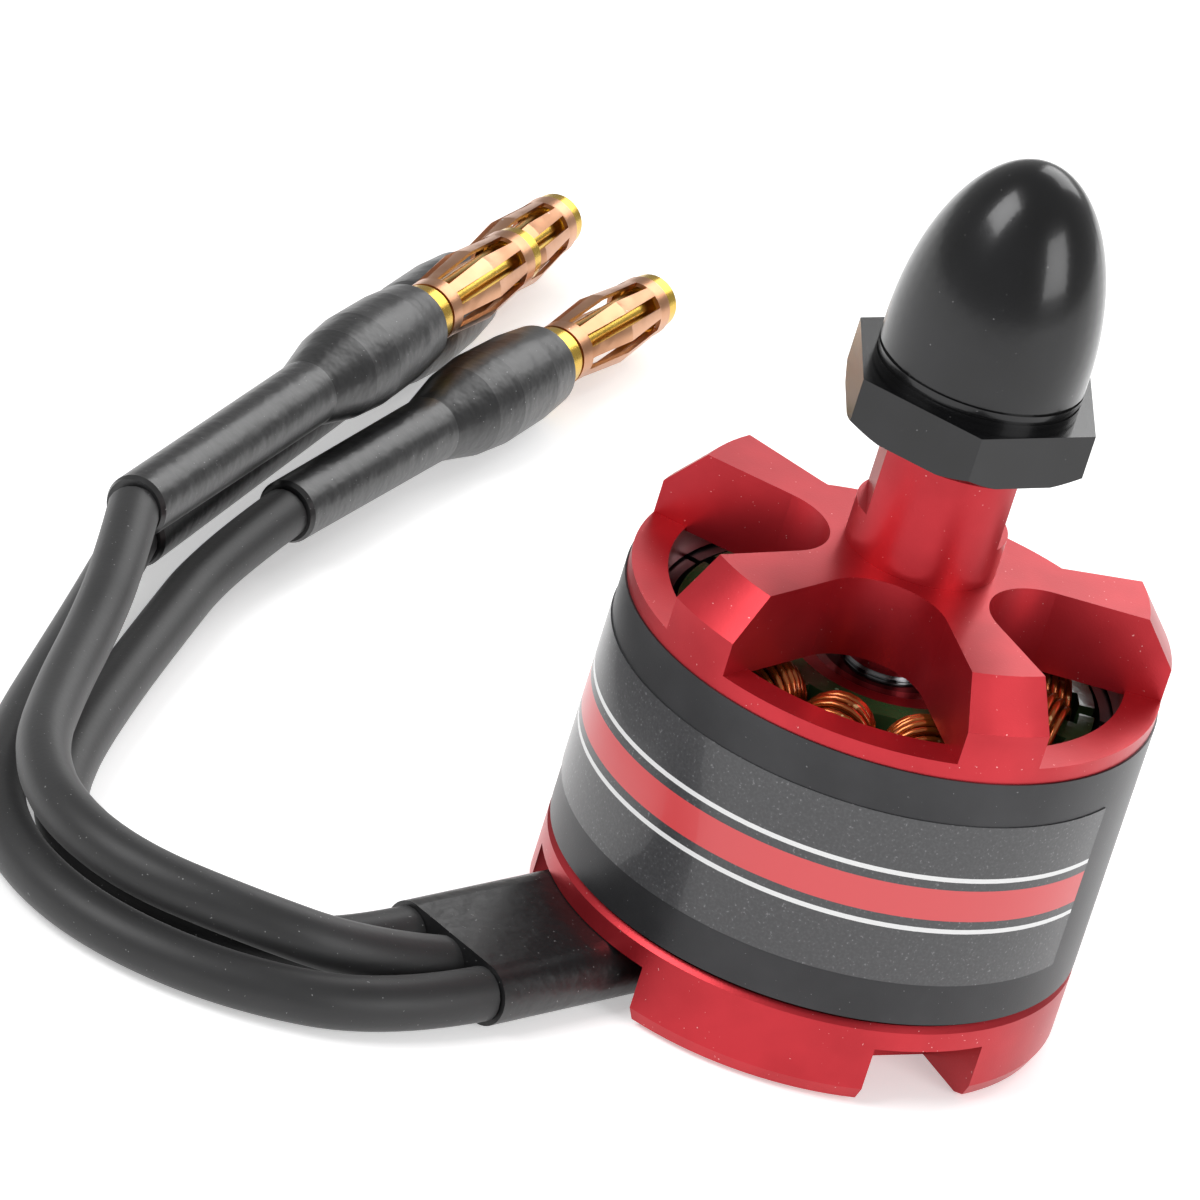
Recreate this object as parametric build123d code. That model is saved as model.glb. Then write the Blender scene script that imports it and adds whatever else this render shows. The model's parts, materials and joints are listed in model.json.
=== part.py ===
from build123d import *
from math import cos, degrees, pi, radians, sin, tan
import os

# Brushless outrunner motor, millimetres, +Z up along the shaft.
# The origin is the centre of the base's underside.
canRadius = 14.0
canWall = 1.2
canLength = 14.2
canGap = 0.25            # running gap between the base and the can
baseHeight = 4.75
baseEdge = 1.0           # rounded lower edge of the base
slotWidth = 6.4          # three plain wire slots
slotHeight = 3.4
slotStart = 9.2          # distance of a plain slot's end from the axis
cableSlotWidth = 11.6
cableSlotStart = 8.2
screwRadius = 1.25       # tapped M3
screwSpacingX = 16.0
screwSpacingY = 19.0
tubeWall = 1.0           # bearing tube that carries the stator
shaftRadius = 1.5
bearingRadius = 4.0      # 3 x 8 x 4 ball bearing
bearingWidth = 4.0
innerRingRadius = 2.25
outerRingInner = 3.4
ballRadius = 0.75
ballCount = 7
shieldWall = 0.2
runningGap = 0.05
lowerBearingZ = 1.2
tubeDrop = 1.2           # bearing tube's top edge below the can's top edge
airGap = 0.35            # between the tooth tips and the magnets
coreDrop = 1.45          # stator core's top face below the can's top edge
coreBottom = 6.75
toothCount = 12
toothWidth = 1.9
yokeWall = 1.4
tipThickness = 0.8
tipGap = 1.0             # opening between two tooth tips
insulatorWall = 0.3
coilClearance = 0.3
coilRise = 1.5           # end turns above the insulator
magnetCount = 14
magnetWall = 1.45
magnetFoot = 1.4         # magnets' lower end above the can's lower edge
plateRise = 0.7          # underside of the cap's spokes above the can's top edge
bandHeight = 2.75        # straight outer wall of the cap, above the can
capHeight = 5.14
capInset = 0.1           # cap's outer wall inside the can's
capSlope = 1.85          # how far the chamfer runs in
ledgeHeight = 0.9
openingInset = 2.0       # cap's opening inside the can's outer wall
spigotDepth = 1.2
spokeCount = 5
spokeAngle = 20.8
windowHalfAngle = 28.7
windowRound = 3.4
windowTip = 4.75         # distance of a window's round end from the axis
collarRadius = 3.95
collarLength = 7.2
flatDepth = 0.55
flatFoot = 2.1           # height at which the collar's flats stop
flatAngle = 15.0
studRadius = 2.95
studLength = 11.0
nutAcross = 12.0
nutAngle = 18.0
hexHeight = 2.9
domeRadius = 5.33
domeStraight = 1.75
domeRise = 10.3
nutBoreDepth = 12.2
labelWall = 0.06
labelFoot = 2.38
labelHead = 2.47
labelStart = 50.0
labelSweep = 294.0
wireRadius = 1.4
wirePitch = 2.9
sleeveLength = 11.6
sleeveHeight = 3.3
exitAngle = -120.0
sleeveMiddle = (-10.9, -12.3)
shrinkRadius = 2.75
bulletLength = 14.0
bulletRadius = 1.75
cageBulge = 2.1
cageWall = 0.25
cageSlots = 8
cageSlotWidth = 0.75
cupDepth = 6.0             # solder cup inside the heat shrink

wireZ = 1.7
# Each lead's route from the sleeve to its heat-shrink tube, then the plug's direction and tube length.
leads = {
    "a": ([(-14.9, -24.2, 1.6), (-22.1, -27.2, 1.6), (-29.3, -26.9, 1.6), (-35.6, -24.0, 1.6),
           (-39.9, -18.5, 1.6), (-41.4, -11.5, 1.6), (-41.9, -4.0, 1.7), (-41.8, 3.4, 2.1),
           (-41.5, 10.4, 2.85)], 83.9, 43.0),
    "c": ([(-16.9, -22.2, 3.0), (-22.8, -25.1, 4.3), (-29.0, -25.1, 4.35), (-34.5, -22.6, 4.35),
           (-38.3, -17.8, 4.35), (-39.8, -11.3, 4.5), (-40.2, -5.2, 5.1), (-40.5, 0.2, 6.2),
           (-40.8, 5.6, 6.95)], 81.9, 33.0),
    "b": ([(-19.0, -20.2, 1.6), (-23.5, -23.0, 1.6), (-28.7, -23.4, 1.6), (-33.5, -21.2, 1.6),
           (-36.7, -17.1, 1.6), (-38.1, -11.2, 1.6), (-38.5, -3.6, 1.6), (-38.2, 4.4, 1.7),
           (-37.4, 12.2, 2.1), (-36.0, 19.5, 2.85)], 78.9, 29.0),
}

canBottom = baseHeight + canGap
canTop = canBottom + canLength
canInner = canRadius - canWall
capRadius = canRadius - capInset
capTopRadius = capRadius - capSlope
openingRadius = canRadius - openingInset
tubeTop = canTop - tubeDrop
tubeRadius = bearingRadius + tubeWall
coreRadius = canInner - magnetWall - airGap
coreLength = canTop - coreDrop - coreBottom
yokeRadius = tubeRadius + yokeWall
coilInner = yokeRadius + coilClearance
coilOuter = coreRadius - tipThickness - coilClearance
plateBottom = canTop + plateRise
labelBottom = canBottom + labelFoot
capTop = canTop + capHeight
collarTop = capTop + collarLength
bearingMiddle = (innerRingRadius + outerRingInner) / 2
cableAngle = -135.0


def tube(outer, inner, low, high):
    # A plain ring about the Z axis between two heights.
    body = Pos(0, 0, low) * Cylinder(outer, high - low, align=(Align.CENTER, Align.CENTER, Align.MIN))
    if inner > 0:
        body -= Pos(0, 0, low - 1) * Cylinder(inner, high - low + 2, align=(Align.CENTER, Align.CENTER, Align.MIN))
    return body


def turned(points):
    # A solid turned about the Z axis from an outline of (radius, height) points.
    outline = Plane.XZ * make_face(Polyline(*points, close=True))
    return revolve(outline, Axis.Z, 360)


def around(count, piece, start=0.0):
    return [Rot(0, 0, start + i * 360 / count) * piece for i in range(count)]


def save(name, shape):
    solids = shape if isinstance(shape, list) else shape.solids()
    part = Compound(children=[s for item in solids for s in item.solids()])
    part.label = name
    export_step(part, "parts/" + name + ".step")


def makeBase():
    body = turned([(0, 0), (canRadius - baseEdge, 0), (canRadius - 0.3 * baseEdge, 0.3 * baseEdge),
                   (canRadius, baseEdge), (canRadius, baseHeight - 0.3), (canRadius - 0.3, baseHeight),
                   (tubeRadius + 1.2, baseHeight), (tubeRadius + 1.2, coreBottom - insulatorWall),
                   (tubeRadius, coreBottom - insulatorWall),
                   (tubeRadius, tubeTop), (0, tubeTop)])
    body -= tube(bearingRadius, 0, -1, lowerBearingZ + bearingWidth)
    body -= tube(bearingRadius, 0, tubeTop - bearingWidth, tubeTop + 1)
    body -= tube(bearingRadius - 0.4, 0, -1, tubeTop + 1)
    reach = 2 * canRadius
    slot = Pos(slotStart, 0, -1) * Box(reach, slotWidth, slotHeight + 1, align=(Align.MIN, Align.CENTER, Align.MIN))
    for angle in (-45, 45, 135):
        body -= Rot(0, 0, angle) * slot
    cable = Box(reach, cableSlotWidth, slotHeight + 1, align=(Align.MIN, Align.CENTER, Align.MIN))
    body -= Rot(0, 0, cableAngle) * Pos(cableSlotStart, 0, -1) * cable
    window = Box(2.4, 7.0, baseHeight, align=(Align.MIN, Align.CENTER, Align.MIN))
    body -= Rot(0, 0, cableAngle) * Pos(cableSlotStart + 0.6, 0, 1) * window
    screw = tube(screwRadius, 0, -1, baseHeight + 1)
    for x, y in ((1, 0), (-1, 0), (0, 1), (0, -1)):
        body -= Pos(x * screwSpacingX / 2, y * screwSpacingY / 2, 0) * screw
    return body


def toothPlan():
    # Plan of one tooth with its tip, along +X.
    tipAngle = 360 / toothCount - degrees(tipGap / coreRadius)
    stem = Pos((yokeRadius + coreRadius) / 2 - 0.5, 0) * Rectangle(coreRadius - yokeRadius, toothWidth)
    tip = Circle(coreRadius) - Circle(coreRadius - tipThickness)
    far = 2 * coreRadius
    half = radians(tipAngle / 2)
    wedge = make_face(Polyline((0, 0), (far, -far * tan(half)), (far, far * tan(half)), close=True))
    return stem + (tip & wedge)


def stackPlan():
    plan = Circle(yokeRadius) - Circle(tubeRadius)
    for tooth in around(toothCount, toothPlan()):
        plan += tooth
    return plan


def makeCore():
    return Pos(0, 0, coreBottom) * extrude(stackPlan(), coreLength)


def makeInsulator(low):
    return Pos(0, 0, low) * extrude(stackPlan(), insulatorWall)


def makeCoil():
    # One coil round the tooth along +X, a little narrower than its share of the circle.
    def halfWidth(r):
        return r * sin(pi / toothCount) - 0.12

    top = coreBottom + coreLength + insulatorWall + coilRise
    bottom = coreBottom - insulatorWall - coilRise + 0.1
    plan = make_face(Polyline((coilInner, -halfWidth(coilInner)), (coilOuter, -halfWidth(coilOuter)),
                              (coilOuter, halfWidth(coilOuter)), (coilInner, halfWidth(coilInner)), close=True))
    body = Pos(0, 0, bottom) * extrude(plan, top - bottom)
    ends = [e for e in body.edges().filter_by(GeomType.LINE) if abs(e.tangent_at(0.5).Z) < 0.1
            and abs(e.tangent_at(0.5).X) > 0.7]
    body = fillet(ends, 0.9)
    low = coreBottom - insulatorWall
    hole = Box(4 * coilOuter, toothWidth, coreLength + 2 * insulatorWall, align=(Align.CENTER, Align.CENTER, Align.MIN))
    return body - Pos(0, 0, low) * hole


def makeBearing(low):
    # Rings, balls, cage and shields of one shielded ball bearing that starts at height low.
    high = low + bearingWidth
    middle = low + bearingWidth / 2
    groove = Pos(0, 0, middle) * Torus(bearingMiddle, ballRadius + 0.03)
    outer = tube(bearingRadius, outerRingInner, low, high) - groove
    inner = tube(innerRingRadius, shaftRadius, low, high) - groove
    balls = around(ballCount, Pos(bearingMiddle, 0, middle) * Sphere(ballRadius))
    cage = tube(bearingMiddle + 0.22, bearingMiddle - 0.22, middle - 1.1, middle + 1.1)
    for pocket in around(ballCount, Pos(bearingMiddle, 0, middle) * Rot(0, 90, 0) * Cylinder(ballRadius + 0.04, 2)):
        cage -= pocket
    shield = tube(outerRingInner, innerRingRadius + runningGap, low + 0.1, low + 0.1 + shieldWall)
    return outer, inner, balls, cage, [shield, Pos(0, 0, bearingWidth - 0.2 - shieldWall) * shield]


def makeMagnets():
    ring = tube(canInner, canInner - magnetWall, canBottom + magnetFoot, canTop - spigotDepth - 0.2)
    far = 2 * canRadius
    half = radians(180 / magnetCount - 1.2)
    wedge = make_face(Polyline((0, 0), (far, -far * tan(half)), (far, far * tan(half)), close=True))
    magnet = ring & extrude(wedge, canTop)
    return around(magnetCount, magnet)


def windowCutter():
    # One window of the cap along +X: a wedge with a round inner end.
    half = radians(windowHalfAngle)
    apex = windowTip - windowRound * (1 / sin(half) - 1)
    far = 2 * canRadius
    side = (far - apex) * tan(half)
    wedge = make_face(Polyline((apex, 0), (far, -side), (far, side), close=True))
    corner = wedge.vertices().sort_by(Axis.X)[0]
    return fillet(corner, windowRound)


def makeCap():
    body = turned([(0, plateBottom), (openingRadius, plateBottom), (openingRadius, canTop - spigotDepth),
                   (canInner, canTop - spigotDepth), (canInner, canTop), (capRadius, canTop),
                   (capRadius, canTop + bandHeight), (capTopRadius, capTop), (0, capTop)])
    plan = windowCutter()
    inside = extrude(plan & Circle(openingRadius), capTop + 1)
    pocket = Pos(0, 0, canTop + ledgeHeight) * extrude(plan, capHeight)
    for i in range(spokeCount):
        turn = Rot(0, 0, spokeAngle + (i + 0.5) * 360 / spokeCount)
        body -= turn * pocket
        body -= turn * inside
    collar = tube(collarRadius, 0, capTop - 1, collarTop)
    reach = 2 * collarRadius
    flat = Box(reach, reach, collarLength, align=(Align.MIN, Align.CENTER, Align.MIN))
    for side in (0, 180):
        collar -= Rot(0, 0, flatAngle + side) * Pos(collarRadius - flatDepth, 0, capTop + flatFoot) * flat
    body += collar
    body += tube(studRadius, 0, collarTop - 0.5, collarTop + studLength)
    body += tube(innerRingRadius, 0, tubeTop + 0.2, plateBottom + 1)
    return body - tube(shaftRadius, 0, 0, capTop + 3)


def makeNut():
    hexagon = Rot(0, 0, nutAngle + 30) * RegularPolygon(nutAcross / 2, 6, major_radius=False)
    low = collarTop
    cornerRadius = nutAcross / 2 / cos(pi / 6)
    body = Pos(0, 0, low) * extrude(hexagon, hexHeight)
    body &= turned([(0, low), (cornerRadius - 0.7, low), (cornerRadius, low + 0.5), (cornerRadius + 1, low + 0.5),
                    (cornerRadius + 1, low + hexHeight), (0, low + hexHeight)])
    foot = low + hexHeight
    body += tube(domeRadius, 0, foot - 0.1, foot + domeStraight)
    arc = EllipticalCenterArc((0, foot + domeStraight), domeRadius, domeRise, start_angle=0, arc_size=90)
    outline = make_face([arc, Line((0, foot + domeStraight), (domeRadius, foot + domeStraight)),
                         Line((0, foot + domeStraight), (0, foot + domeStraight + domeRise))])
    body += revolve(Plane.XZ * outline, Axis.Z, 360)
    for height in (0.3, 0.8):
        body -= tube(domeRadius + 1, domeRadius - 0.12, foot + height, foot + height + 0.2)
    return body - tube(studRadius + runningGap, 0, low - 1, low + nutBoreDepth)


def makeLabel():
    film = tube(canRadius + labelWall, canRadius, labelBottom, canTop - labelHead)
    gap = radians((360 - labelSweep) / 2)
    far = 2 * canRadius
    wedge = make_face(Polyline((0, 0), (far, -far * tan(gap)), (far, far * tan(gap)), close=True))
    middle = labelStart + labelSweep / 2 + 180
    return film - Rot(0, 0, middle) * extrude(wedge, canTop)


def makeClip():
    clip = tube(2.4, shaftRadius - 0.3, 0.5, 0.9)
    return clip - Pos(0, 0, 0.4) * Box(6, 1.6, 0.8, align=(Align.MIN, Align.CENTER, Align.MIN))


def makeShaft():
    shaft = tube(shaftRadius, 0, 0.2, capTop + 3)
    return shaft - tube(shaftRadius + 1, shaftRadius - 0.3, 0.5, 0.9)


def along(angle, start):
    # Turns a piece made along +Z from the origin to lie level in the given direction.
    return Pos(*start) * Rot(0, 0, angle) * Rot(0, 90, 0)


def sleevePlace():
    return Pos(sleeveMiddle[0], sleeveMiddle[1], wireZ) * Rot(0, 0, exitAngle)


def makeSleeve():
    width = 2 * wirePitch + sleeveHeight
    oval = Plane.YZ * SlotOverall(width, sleeveHeight)
    return sleevePlace() * Pos(-sleeveLength / 2, 0, 0) * extrude(oval, sleeveLength, dir=(1, 0, 0))


def leadStart(key):
    side = {"a": 1, "c": 0, "b": -1}[key] * wirePitch
    turn = radians(exitAngle)
    out = sleeveLength / 2
    x = sleeveMiddle[0] + out * cos(turn) - side * sin(turn)
    y = sleeveMiddle[1] + out * sin(turn) + side * cos(turn)
    return x, y, wireZ


def cornerRadii(points):
    # The arc at each corner is as large as its two runs allow.
    spots = [Vector(*p) for p in points]
    radii = []
    for before, here, after in zip(spots, spots[1:], spots[2:]):
        turn = (here - before).get_angle(after - here)
        run = min((here - before).length, (after - here).length)
        radii.append(0.45 * run / tan(radians(turn / 2)))
    return radii


def makeWire(key):
    points = [leadStart(key)] + leads[key][0]
    radii = cornerRadii(points)
    path = FilletPolyline(*points, radius=radii)
    section = Plane(origin=path @ 0, z_dir=path % 0) * Circle(wireRadius)
    wire = sweep(section, path=path)
    print("lead", key, "route", round(path.length, 1), "radii", [round(r, 1) for r in radii],
          "volume error", round(wire.volume / (path.length * pi * wireRadius ** 2) - 1, 5))
    return wire


def makeShrink(length):
    thin = wireRadius + 0.35
    body = turned([(0, 0), (thin - 0.15, 0), (thin, 0.3), (thin + 0.1, length - 13), (shrinkRadius - 0.2, length - 9.5),
                   (shrinkRadius, length - 7), (shrinkRadius - 0.1, length - 3), (shrinkRadius - 0.35, length - 0.5),
                   (bulletRadius + 0.35, length), (0, length)])
    return body - tube(bulletRadius, 0, length - cupDepth, length + 1)


def makePin():
    # Starts at the solder cup's closed end inside the heat shrink.
    tip = cupDepth + bulletLength
    return turned([(0, 0), (bulletRadius, 0), (bulletRadius, cupDepth + 1.5), (1.15, cupDepth + 1.7), (1.15, tip - 1.9),
                   (1.6, tip - 1.8), (1.6, tip - 0.9), (1.1, tip - 0.2), (0.5, tip), (0, tip)])


def makeCage():
    low = cupDepth + 1.75
    high = cupDepth + bulletLength - 1.95
    middle = (low + high) / 2
    inner = bulletRadius - cageWall
    cage = turned([(inner, low), (bulletRadius, low), (bulletRadius, low + 1), (cageBulge, middle),
                   (bulletRadius, high - 1), (bulletRadius, high), (inner, high), (inner, high - 1),
                   (cageBulge - cageWall, middle), (inner, low + 1)])
    slit = Pos(0, 0, low + 1.1) * Box(2 * cageBulge, cageSlotWidth, high - low - 2.2, align=(Align.MIN, Align.CENTER, Align.MIN))
    for cut in around(cageSlots, slit):
        cage -= cut
    return cage


def makeLead(key):
    points, angle, length = leads[key]
    place = along(angle, points[-1])
    turn = radians(angle)
    cup = (points[-1][0] + (length - cupDepth) * cos(turn), points[-1][1] + (length - cupDepth) * sin(turn), points[-1][2])
    save("phase_wire_" + key, makeWire(key))
    save("heat_shrink_" + key, place * makeShrink(length))
    save("bullet_pin_" + key, along(angle, cup) * makePin())
    save("bullet_cage_" + key, along(angle, cup) * makeCage())


def makeBearings():
    for name, low in (("upper", tubeTop - bearingWidth), ("lower", lowerBearingZ)):
        outer, inner, balls, cage, shields = makeBearing(low)
        save(name + "_outer_ring", outer)
        save(name + "_inner_ring", inner)
        save(name + "_balls", balls)
        save(name + "_cage", cage)
        save(name + "_shields", shields)


def main():
    os.makedirs("parts", exist_ok=True)
    save("base_mount", makeBase())
    save("stator_core", makeCore())
    save("upper_insulator", makeInsulator(coreBottom + coreLength))
    save("lower_insulator", makeInsulator(coreBottom - insulatorWall))
    coils = around(toothCount, makeCoil())
    for i, phase in enumerate("abc"):
        save("coil_phase_" + phase, coils[i::3])
    makeBearings()
    save("motor_shaft", makeShaft())
    save("shaft_clip", makeClip())
    save("lower_washer", tube(2.1, shaftRadius, 0.9, lowerBearingZ))
    save("upper_washer", tube(2.1, shaftRadius, tubeTop, tubeTop + 0.2))
    save("bell_cap", makeCap())
    save("flux_ring", tube(canRadius, canInner, canBottom, canTop))
    save("magnets", makeMagnets())
    save("label", makeLabel())
    save("prop_nut", makeNut())
    save("lead_sleeve", makeSleeve())
    for key in leads:
        makeLead(key)


main()
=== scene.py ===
import bpy
import json
from math import cos, pi, radians, sin
from mathutils import Matrix, Vector


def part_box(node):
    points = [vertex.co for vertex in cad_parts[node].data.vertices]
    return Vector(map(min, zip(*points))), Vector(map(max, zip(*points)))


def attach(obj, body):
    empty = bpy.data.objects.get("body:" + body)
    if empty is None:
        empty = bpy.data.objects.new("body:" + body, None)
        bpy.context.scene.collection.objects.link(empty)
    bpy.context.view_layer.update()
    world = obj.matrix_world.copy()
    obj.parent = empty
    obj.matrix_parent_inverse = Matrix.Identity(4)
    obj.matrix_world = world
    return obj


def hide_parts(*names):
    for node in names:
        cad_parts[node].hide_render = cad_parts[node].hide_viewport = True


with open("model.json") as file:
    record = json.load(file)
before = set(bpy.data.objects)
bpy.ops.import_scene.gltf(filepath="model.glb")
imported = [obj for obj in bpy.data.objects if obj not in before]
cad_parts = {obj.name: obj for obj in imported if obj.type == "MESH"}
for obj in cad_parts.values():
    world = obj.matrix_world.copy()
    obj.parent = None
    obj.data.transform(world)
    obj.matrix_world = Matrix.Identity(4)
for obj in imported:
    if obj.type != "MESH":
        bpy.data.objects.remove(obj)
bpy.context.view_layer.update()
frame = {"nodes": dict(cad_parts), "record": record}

nodes = frame["nodes"]
mm = 0.001
bpy.ops.object.select_all(action="DESELECT")

def linearColor(code):
    channels = [int(code[i:i + 2], 16) / 255 for i in (1, 3, 5)]
    linear = [c / 12.92 if c <= 0.04045 else ((c + 0.055) / 1.055) ** 2.4 for c in channels]
    return linear + [1.0]


def addNode(tree, kind, settings=None, links=None):
    # settings are attributes or input values, links are input name to an output socket
    node = tree.nodes.new(kind)
    for key, value in (settings or {}).items():
        if hasattr(node, key):
            setattr(node, key, value)
        else:
            node.inputs[key].default_value = value
    for key, socket in (links or {}).items():
        tree.links.new(socket, node.inputs[key])
    return node


def colorRamp(tree, source, stops):
    ramp = addNode(tree, "ShaderNodeValToRGB", links={"Fac": source})
    cells = ramp.color_ramp.elements
    while len(cells) < len(stops):
        cells.new(0.5)
    for cell, (place, code) in zip(cells, stops):
        cell.position = place
        cell.color = linearColor(code)
    return ramp


def newMaterial(name):
    material = bpy.data.materials.new(name)
    material.use_nodes = True
    tree = material.node_tree
    place = addNode(tree, "ShaderNodeTexCoord").outputs["Object"]
    return material, tree, tree.nodes["Principled BSDF"], place


def finishShader(tree, shader, color, height, settings, strength=0.2, distance=0.02 * mm):
    bump = addNode(tree, "ShaderNodeBump", {"Strength": strength, "Distance": distance},
                   {"Height": height})
    tree.links.new(color, shader.inputs["Base Color"])
    tree.links.new(bump.outputs["Normal"], shader.inputs["Normal"])
    for key, value in settings.items():
        shader.inputs[key].default_value = value


def speckled(name, dark, light, speck, speckSize, speckShare, grain, settings, strength=0.2,
             distance=0.02 * mm):
    # two close shades in broad patches, fine grain in the bump, and pale specks of dust or burr; on
    # the enamelled copper the pale specks are painted highlights
    patchSize = 4 * mm
    speckEdge = 0.03
    material, tree, shader, place = newMaterial(name)
    patches = addNode(tree, "ShaderNodeTexNoise", {"Scale": 1 / patchSize, "Detail": 3.0},
                      {"Vector": place})
    shade = colorRamp(tree, patches.outputs["Fac"], [(0.35, dark), (0.65, light)])
    dustAndGlint = addNode(tree, "ShaderNodeTexNoise", {"Scale": 1 / speckSize, "Detail": 1.0},
                   {"Vector": place})
    mask = colorRamp(tree, dustAndGlint.outputs["Fac"],
                     [(1 - speckShare, "#000000"), (1 - speckShare + speckEdge, "#FFFFFF")])
    mix = addNode(tree, "ShaderNodeMixRGB", {"Color2": linearColor(speck)},
                  {"Fac": mask.outputs["Color"], "Color1": shade.outputs["Color"]})
    fine = addNode(tree, "ShaderNodeTexNoise", {"Scale": 1 / grain, "Detail": 2.0},
                   {"Vector": place})
    finishShader(tree, shader, mix.outputs["Color"], fine.outputs["Fac"], settings, strength,
                 distance)
    return material

def anodisedRed():
    # anodised aluminium, machined then dyed: satin red, paler where light rakes the fine grain
    return speckled("anodised aluminium red", dark="#B0202A", light="#BE2832", speck="#E0A0A0",
                    speckSize=0.16 * mm, speckShare=0.23, grain=0.09 * mm,
                    settings={"Metallic": 0.72, "Roughness": 0.36, "Coat Weight": 0.2,
                              "Coat Roughness": 0.3},
                    strength=0.25)


def paintedSteel():
    # phosphated steel can: satin black with fine dust
    return speckled("blackened steel", dark="#2A2A2C", light="#333335", speck="#707072",
                    speckSize=0.16 * mm, speckShare=0.23, grain=0.08 * mm,
                    settings={"Metallic": 0.35, "Roughness": 0.34})


def anodisedBlack():
    # anodised aluminium, turned: glossy black dome and satin hexagon
    return speckled("anodised aluminium black", dark="#111112", light="#18181A", speck="#808080",
                    speckSize=0.16 * mm, speckShare=0.22, grain=0.1 * mm,
                    settings={"Metallic": 0.45, "Roughness": 0.26, "Coat Weight": 0.35,
                              "Coat Roughness": 0.12},
                    strength=0.12)


def siliconeRubber():
    # silicone lead cover: matt black, picks up pale dust
    return speckled("silicone rubber", dark="#181819", light="#202021", speck="#7A7A7A",
                    speckSize=0.18 * mm, speckShare=0.245, grain=0.3 * mm,
                    settings={"Roughness": 0.5, "Sheen Weight": 0.15},
                    strength=0.3)


def polyolefin():
    # heat-shrunk polyolefin: satin black, slightly puckered over what it holds
    return speckled("polyolefin heat shrink", dark="#131314", light="#1B1B1C", speck="#808080",
                    speckSize=0.18 * mm, speckShare=0.25, grain=1.1 * mm,
                    settings={"Roughness": 0.38, "Coat Weight": 0.25, "Coat Roughness": 0.3},
                    strength=0.6, distance=0.15 * mm)


def greenEpoxy():
    # epoxy-coated laminations: glossy dark green, thin at the corners
    return speckled("epoxy coating green", dark="#24361F", light="#3C5A34", speck="#8FA387",
                    speckSize=0.4 * mm, speckShare=0.27, grain=0.6 * mm,
                    settings={"Roughness": 0.25, "Coat Weight": 0.4},
                    strength=0.4, distance=0.06 * mm)


def enamelledCopper():
    # enamelled copper wire: amber enamel over bright metal; the pale gold specks are painted
    # highlights on the strands
    return speckled("enamelled copper", dark="#9A4A1C", light="#C87434", speck="#F0C088",
                    speckSize=0.5 * mm, speckShare=0.3, grain=0.4 * mm,
                    settings={"Metallic": 0.85, "Roughness": 0.27, "Coat Weight": 0.5,
                              "Coat Roughness": 0.1},
                    strength=0.15)


def plainMetal(name, dark, light, roughness):
    # bare or plated metal with a few bright scratches
    return speckled(name, dark, light, speck="#FFFFFF", speckSize=0.3 * mm, speckShare=0.2,
                    grain=0.08 * mm, settings={"Metallic": 1.0, "Roughness": roughness})


def labelVinyl():
    # printed vinyl film: dark grey gloss, fine dot grain, plain red band between two white lines
    sizes = {"middle": 12.1, "bandHalf": 0.9, "lineGap": 1.5, "lineHalf": 0.13, "dot": 0.15}
    material, tree, shader, place = newMaterial("printed vinyl")
    split = addNode(tree, "ShaderNodeSeparateXYZ", links={"Vector": place})
    offset = addNode(tree, "ShaderNodeMath", {"operation": "SUBTRACT"}, {0: split.outputs["Z"]})
    offset.inputs[1].default_value = sizes["middle"] * mm
    away = addNode(tree, "ShaderNodeMath", {"operation": "ABSOLUTE"}, {0: offset.outputs[0]})
    band = addNode(tree, "ShaderNodeMath", {"operation": "LESS_THAN"}, {0: away.outputs[0]})
    band.inputs[1].default_value = sizes["bandHalf"] * mm
    line = addNode(tree, "ShaderNodeMath", {"operation": "COMPARE"}, {0: away.outputs[0]})
    line.inputs[1].default_value = sizes["lineGap"] * mm
    line.inputs[2].default_value = sizes["lineHalf"] * mm
    dots = addNode(tree, "ShaderNodeTexNoise", {"Scale": 1 / (sizes["dot"] * mm), "Detail": 1.0},
                   {"Vector": place})
    grey = colorRamp(tree, dots.outputs["Fac"],
                     [(0.4, "#3A3A3C"), (0.68, "#454547"), (0.76, "#727274")])
    red = addNode(tree, "ShaderNodeMixRGB", {"Color2": linearColor("#D84A4E")},
                  {"Fac": band.outputs[0], "Color1": grey.outputs["Color"]})
    white = addNode(tree, "ShaderNodeMixRGB", {"Color2": linearColor("#E8E8E8")},
                    {"Fac": line.outputs[0], "Color1": red.outputs["Color"]})
    finishShader(tree, shader, white.outputs["Color"], dots.outputs["Fac"],
                 {"Roughness": 0.28, "Coat Weight": 0.3}, strength=0.1)
    return material


studio = {
    "lamps": {
        "key": {"place": (-0.35, -0.3, 0.5), "size": 0.35, "watts": 2.6},
        "fill": {"place": (0.5, -0.2, 0.25), "size": 0.3, "watts": 1.3},
        "rim": {"place": (0.1, 0.5, 0.4), "size": 0.4, "watts": 1.6},
    },
    "aim": (0, 0, 0.02), "worldStrength": 0.42, "seenStrength": 1.0, "floorGlow": 0.42,
    "floorSize": 3,
}


def studioWhite():
    # matt board that the camera and mirror-like metal see almost white, with soft shadows left on it
    material, tree, shader = newMaterial("matt white board")[:3]
    shader.inputs["Base Color"].default_value = linearColor("#F6F6F6")
    shader.inputs["Roughness"].default_value = 0.8
    rays = addNode(tree, "ShaderNodeLightPath")
    direct = addNode(tree, "ShaderNodeMath", {"operation": "MAXIMUM"},
                     {0: rays.outputs["Is Camera Ray"], 1: rays.outputs["Is Glossy Ray"]})
    lift = addNode(tree, "ShaderNodeMath", {"operation": "MULTIPLY"}, {0: direct.outputs[0]})
    lift.inputs[1].default_value = studio["floorGlow"]
    tree.links.new(lift.outputs[0], shader.inputs["Emission Strength"])
    shader.inputs["Emission Color"].default_value = (1, 1, 1, 1)
    return material


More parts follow.
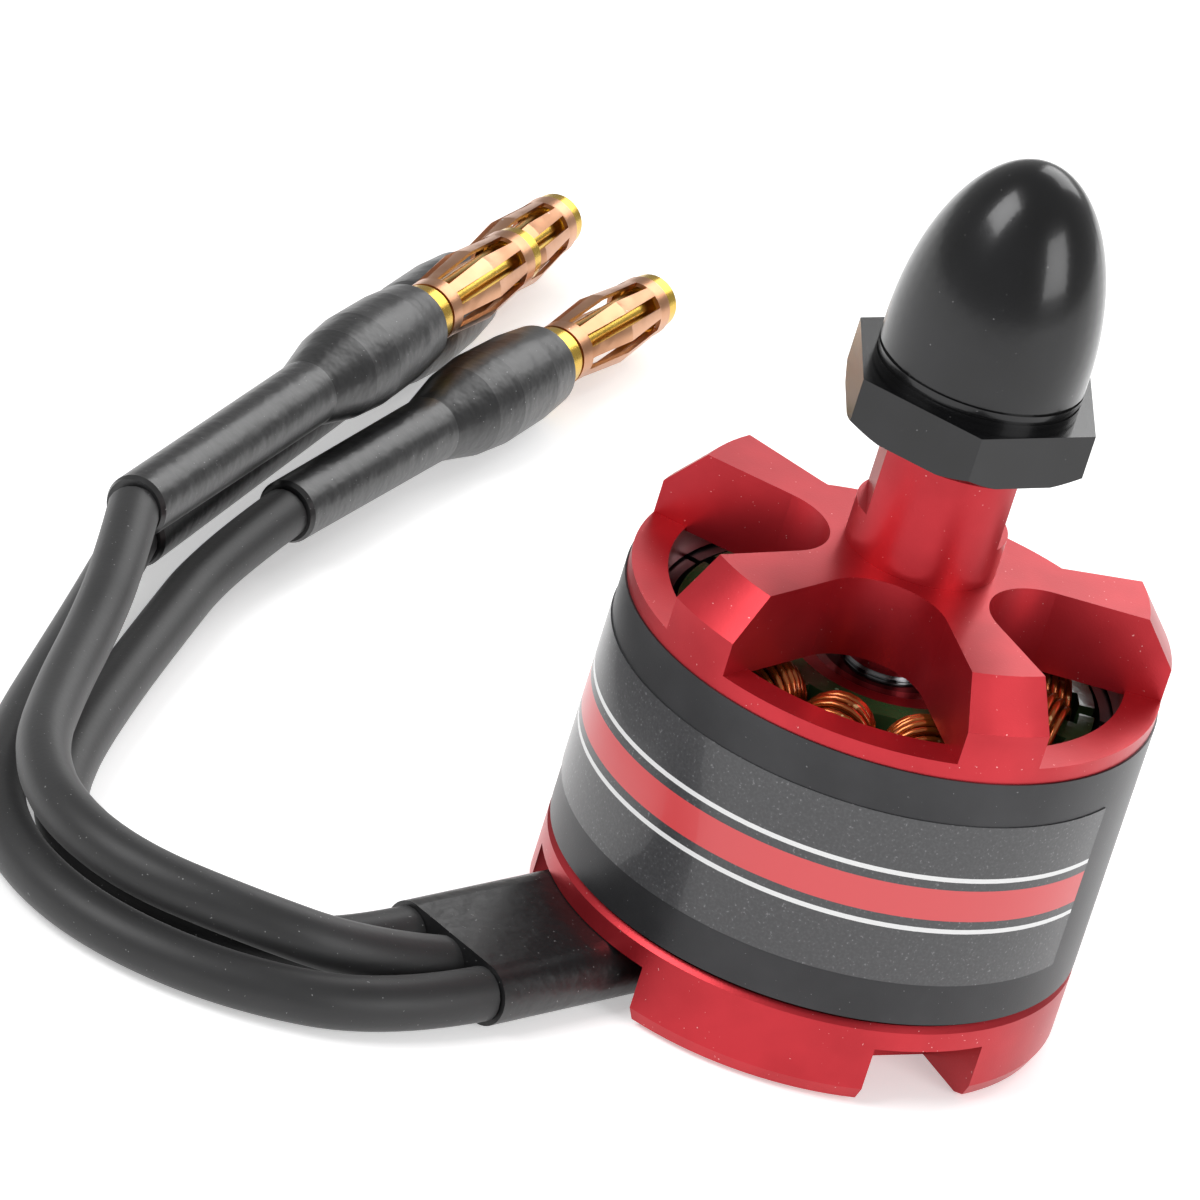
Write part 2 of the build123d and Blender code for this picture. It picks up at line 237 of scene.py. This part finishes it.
red = anodisedRed()
copper = enamelledCopper()
silicone = siliconeRubber()
green = greenEpoxy()
bearingSteel = plainMetal("polished bearing steel", "#B8B8BA", "#D0D0D2", 0.18)
finishes = {
    "red_aluminium": red, "black_steel": paintedSteel(), "black_aluminium": anodisedBlack(),
    "steel": plainMetal("ground steel", "#9A9A9C", "#B4B4B6", 0.3), "bearing_steel": bearingSteel,
    "lamination": green, "magnet": plainMetal("nickel plate", "#808082", "#9A9A9C", 0.3),
    "copper": copper,
    "epoxy_green": green, "label_vinyl": labelVinyl(), "silicone": silicone,
    "heat_shrink": polyolefin(),
    "gold": plainMetal("gold plate", "#C9A23E", "#DDB951", 0.24),
    "cage_copper": plainMetal("gold plated beryllium copper", "#B8835F", "#D09C78", 0.3),
}
for sub in frame["record"]["subparts"]:
    nodes[sub["node"]].data.materials.clear()
    nodes[sub["node"]].data.materials.append(finishes[sub["material_slot"]])
# bearing shields coloured glossy near-black: painted shade for the dark inside of the bearing
shieldPaintedShade = speckled("bearing shield painted shade", "#0C0C0D", "#141415", "#505050", 0.3 * mm, 0.2, 0.2 * mm,
                       {"Roughness": 0.15, "Coat Weight": 0.5})
for node in ("upper_shields", "lower_shields"):
    nodes[node].data.materials.clear()
    nodes[node].data.materials.append(shieldPaintedShade)
print("materials ready")

def makeCamera():
    # angles in degrees, distances in mm from the centre of the can's top
    view = {"azimuth": 10.0, "elevation": 26.641, "roll": 17.371, "distance": 531.63,
            "right": -14.744, "up": 1.885, "lens": 316.14}
    a, e, roll = (radians(view[k]) for k in ("azimuth", "elevation", "roll"))
    back = Vector((sin(a) * cos(e), -cos(a) * cos(e), sin(e)))
    level = Vector((cos(a), sin(a), 0))
    rise = back.cross(level)
    right = level * cos(roll) + rise * sin(roll)
    up = rise * cos(roll) - level * sin(roll)
    target = Vector((0, 0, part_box("flux_ring")[1].z))
    place = target + (back * view["distance"] + right * view["right"] + up * view["up"]) * mm
    data = bpy.data.cameras.new("camera")
    data.lens = view["lens"]
    data.sensor_width = 36
    data.clip_start = 0.01
    camera = bpy.data.objects.new("camera", data)
    bpy.context.scene.collection.objects.link(camera)
    turn = Matrix((right, up, back)).transposed().to_4x4()
    camera.matrix_world = Matrix.Translation(place) @ turn
    bpy.context.scene.camera = camera


def makeLamp(name, place, size, watts):
    data = bpy.data.lights.new(name, "AREA")
    data.size = size
    data.energy = watts
    lamp = bpy.data.objects.new(name, data)
    bpy.context.scene.collection.objects.link(lamp)
    lamp.location = place
    aim = Vector(studio["aim"]) - Vector(place)
    lamp.rotation_euler = aim.to_track_quat("-Z", "Y").to_euler()


def makeStudio():
    for name, lamp in studio["lamps"].items():
        makeLamp(name, lamp["place"], lamp["size"], lamp["watts"])
    world = bpy.data.worlds.new("studio")
    bpy.context.scene.world = world
    world.use_nodes = True
    tree = world.node_tree
    soft = tree.nodes["Background"]
    soft.inputs["Color"].default_value = (1, 1, 1, 1)
    soft.inputs["Strength"].default_value = studio["worldStrength"]
    bright = addNode(tree, "ShaderNodeBackground",
                     {"Strength": studio["seenStrength"], "Color": (1, 1, 1, 1)})
    rays = addNode(tree, "ShaderNodeLightPath")
    mix = addNode(tree, "ShaderNodeMixShader", links={0: rays.outputs["Is Camera Ray"]})
    tree.links.new(soft.outputs[0], mix.inputs[1])
    tree.links.new(bright.outputs[0], mix.inputs[2])
    tree.links.new(mix.outputs[0], tree.nodes["World Output"].inputs["Surface"])
    bpy.ops.mesh.primitive_plane_add(size=studio["floorSize"], location=(0, 0, 0))
    floor = bpy.context.object
    floor.name = "floor"
    floor.data.materials.append(studioWhite())
    floor.select_set(False)


makeCamera()
makeStudio()
bpy.context.scene.view_settings.view_transform = "Standard"
print("camera and studio ready")

leadForm = {"diameter": 2.8, "roundSteps": 8, "alongSteps": 12, "order": 3}  # mm, then mesh steps
leads = {  # bare length and path points, in mm
    "a": {"length": 64.0, "points": [(-11.29, -18.77, 1.7), (-14.9, -24.2, 1.6), (-22.1, -27.2,
                                                                                  1.6),
          (-29.3, -26.9, 1.6), (-34.8, -23.8, 1.6), (-38.4, -18.3, 1.6), (-39.6, -11.5, 1.6),
          (-40.3, -4.0, 1.7), (-40.9, 3.4, 2.1), (-41.5, 10.4, 2.85)]},
    "c": {"length": 54.2, "points": [(-13.8, -17.32, 1.7), (-16.9, -22.2, 3.0), (-22.8, -25.1, 4.3),
          (-29.0, -25.1, 4.35), (-33.8, -22.4, 4.35), (-36.8, -17.6, 4.35), (-38.0, -11.3, 4.5),
          (-38.7, -5.2, 5.1), (-39.5, 0.2, 6.2), (-40.8, 5.6, 6.95)]},
    "b": {"length": 62.6, "points": [(-16.31, -15.87, 1.7), (-19.0, -20.2, 1.6), (-23.5, -23.0,
                                                                                  1.6),
          (-28.7, -23.4, 1.6), (-32.8, -21.0, 1.6), (-35.3, -16.9, 1.6), (-36.4, -11.2, 1.6),
          (-37.0, -3.6, 1.6), (-37.3, 4.4, 1.7), (-37.4, 12.2, 2.1), (-36.0, 19.5, 2.85)]},
}


def makeLead(key, facts):
    curve = bpy.data.curves.new("lead_" + key, "CURVE")
    curve.dimensions = "3D"
    curve.bevel_depth = leadForm["diameter"] / 2 * mm
    curve.bevel_resolution = leadForm["roundSteps"]
    spline = curve.splines.new("NURBS")
    spline.points.add(len(facts["points"]) - 1)
    for point, place in zip(spline.points, facts["points"]):
        point.co = [v * mm for v in place] + [1]
    spline.order_u = leadForm["order"]
    spline.use_endpoint_u = True
    spline.resolution_u = leadForm["alongSteps"]
    lead = bpy.data.objects.new("lead_" + key, curve)
    bpy.context.scene.collection.objects.link(lead)
    curve.materials.append(silicone)
    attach(lead, "stator")
    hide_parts("phase_wire_" + key)
    carried = [nodes[n + key] for n in ("heat_shrink_", "bullet_pin_", "bullet_cage_")]
    if key == "a":
        carried.append(nodes["lead_sleeve"])


for key, facts in leads.items():
    makeLead(key, facts)
print("leads ready")

winding = {  # in mm, but for the counts and the under share
    "teeth": 12, "layers": 2, "start": 6.95, "end": 9.7, "step": 0.42, "wire": 0.21,
    "layerStep": 0.4, "gap": 0.34, "top": 19.3, "bottom": 5.2, "crown": 0.9, "crownAt": 8.4,
    "crownSpan": 1.5, "underShare": 0.5, "ringSteps": 24, "wireSteps": 6, "seam": 0.01,
}


def makeTurn(radius, layer):
    # one closed turn standing round the tooth along +X, a torus drawn out along Z
    w = winding
    wide = (radius * sin(pi / w["teeth"]) - w["gap"] - layer * w["layerStep"]) * mm
    drop = w["crown"] * ((radius - w["crownAt"]) / w["crownSpan"]) ** 2 + layer * w["layerStep"]
    top = (w["top"] - drop) * mm
    bottom = (w["bottom"] + w["underShare"] * drop) * mm
    middle = (top + bottom) / 2
    bpy.ops.mesh.primitive_torus_add(location=(radius * mm, 0, middle), rotation=(0, pi / 2, 0),
                                     major_radius=wide, minor_radius=w["wire"] * mm,
                                     major_segments=w["ringSteps"],
                                     minor_segments=w["wireSteps"])
    turn = bpy.context.object
    bpy.ops.object.transform_apply(location=True, rotation=True, scale=True)
    stretch = (top - bottom) / 2 - wide
    for side in (1, -1):
        bpy.ops.object.mode_set(mode="EDIT")
        bpy.ops.mesh.select_all(action="DESELECT")
        bpy.ops.object.mode_set(mode="OBJECT")
        for vertex in turn.data.vertices:
            vertex.select = side * (vertex.co.z - middle) > w["seam"] * mm
        bpy.ops.object.mode_set(mode="EDIT")
        bpy.ops.transform.translate(value=(0, 0, side * stretch))
        bpy.ops.object.mode_set(mode="OBJECT")
    return turn


def makeCoil():
    turns = []
    count = int((winding["end"] - winding["start"]) / winding["step"]) + 1
    for layer in range(winding["layers"]):
        for i in range(count - layer):
            # the second layer lies in the hollows of the first
            turns.append(makeTurn(winding["start"] + (i + 0.5 * layer) * winding["step"], layer))
    bpy.ops.object.select_all(action="DESELECT")
    for turn in turns:
        turn.select_set(True)
    bpy.context.view_layer.objects.active = turns[0]
    bpy.ops.object.join()
    bpy.ops.object.shade_smooth()
    return bpy.context.object


def makeWindings():
    master = makeCoil()
    phases = {"a": [], "b": [], "c": []}
    for i in range(winding["teeth"]):
        copy = master.copy()
        copy.data = master.data.copy()
        bpy.context.scene.collection.objects.link(copy)
        copy.data.transform(Matrix.Rotation(i * 2 * pi / winding["teeth"], 4, "Z"))
        phases["abc"[i % 3]].append(copy)
    bpy.data.objects.remove(master)
    for key, coils in phases.items():
        bpy.ops.object.select_all(action="DESELECT")
        for coil in coils:
            coil.select_set(True)
        bpy.context.view_layer.objects.active = coils[0]
        bpy.ops.object.join()
        piece = bpy.context.object
        bpy.ops.object.transform_apply(location=True, rotation=True, scale=True)
        piece.name = "winding_" + key
        piece.data.materials.clear()
        piece.data.materials.append(copper)
        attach(piece, "stator")
        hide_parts("coil_phase_" + key)
    bpy.ops.object.select_all(action="DESELECT")


makeWindings()
print("windings ready")
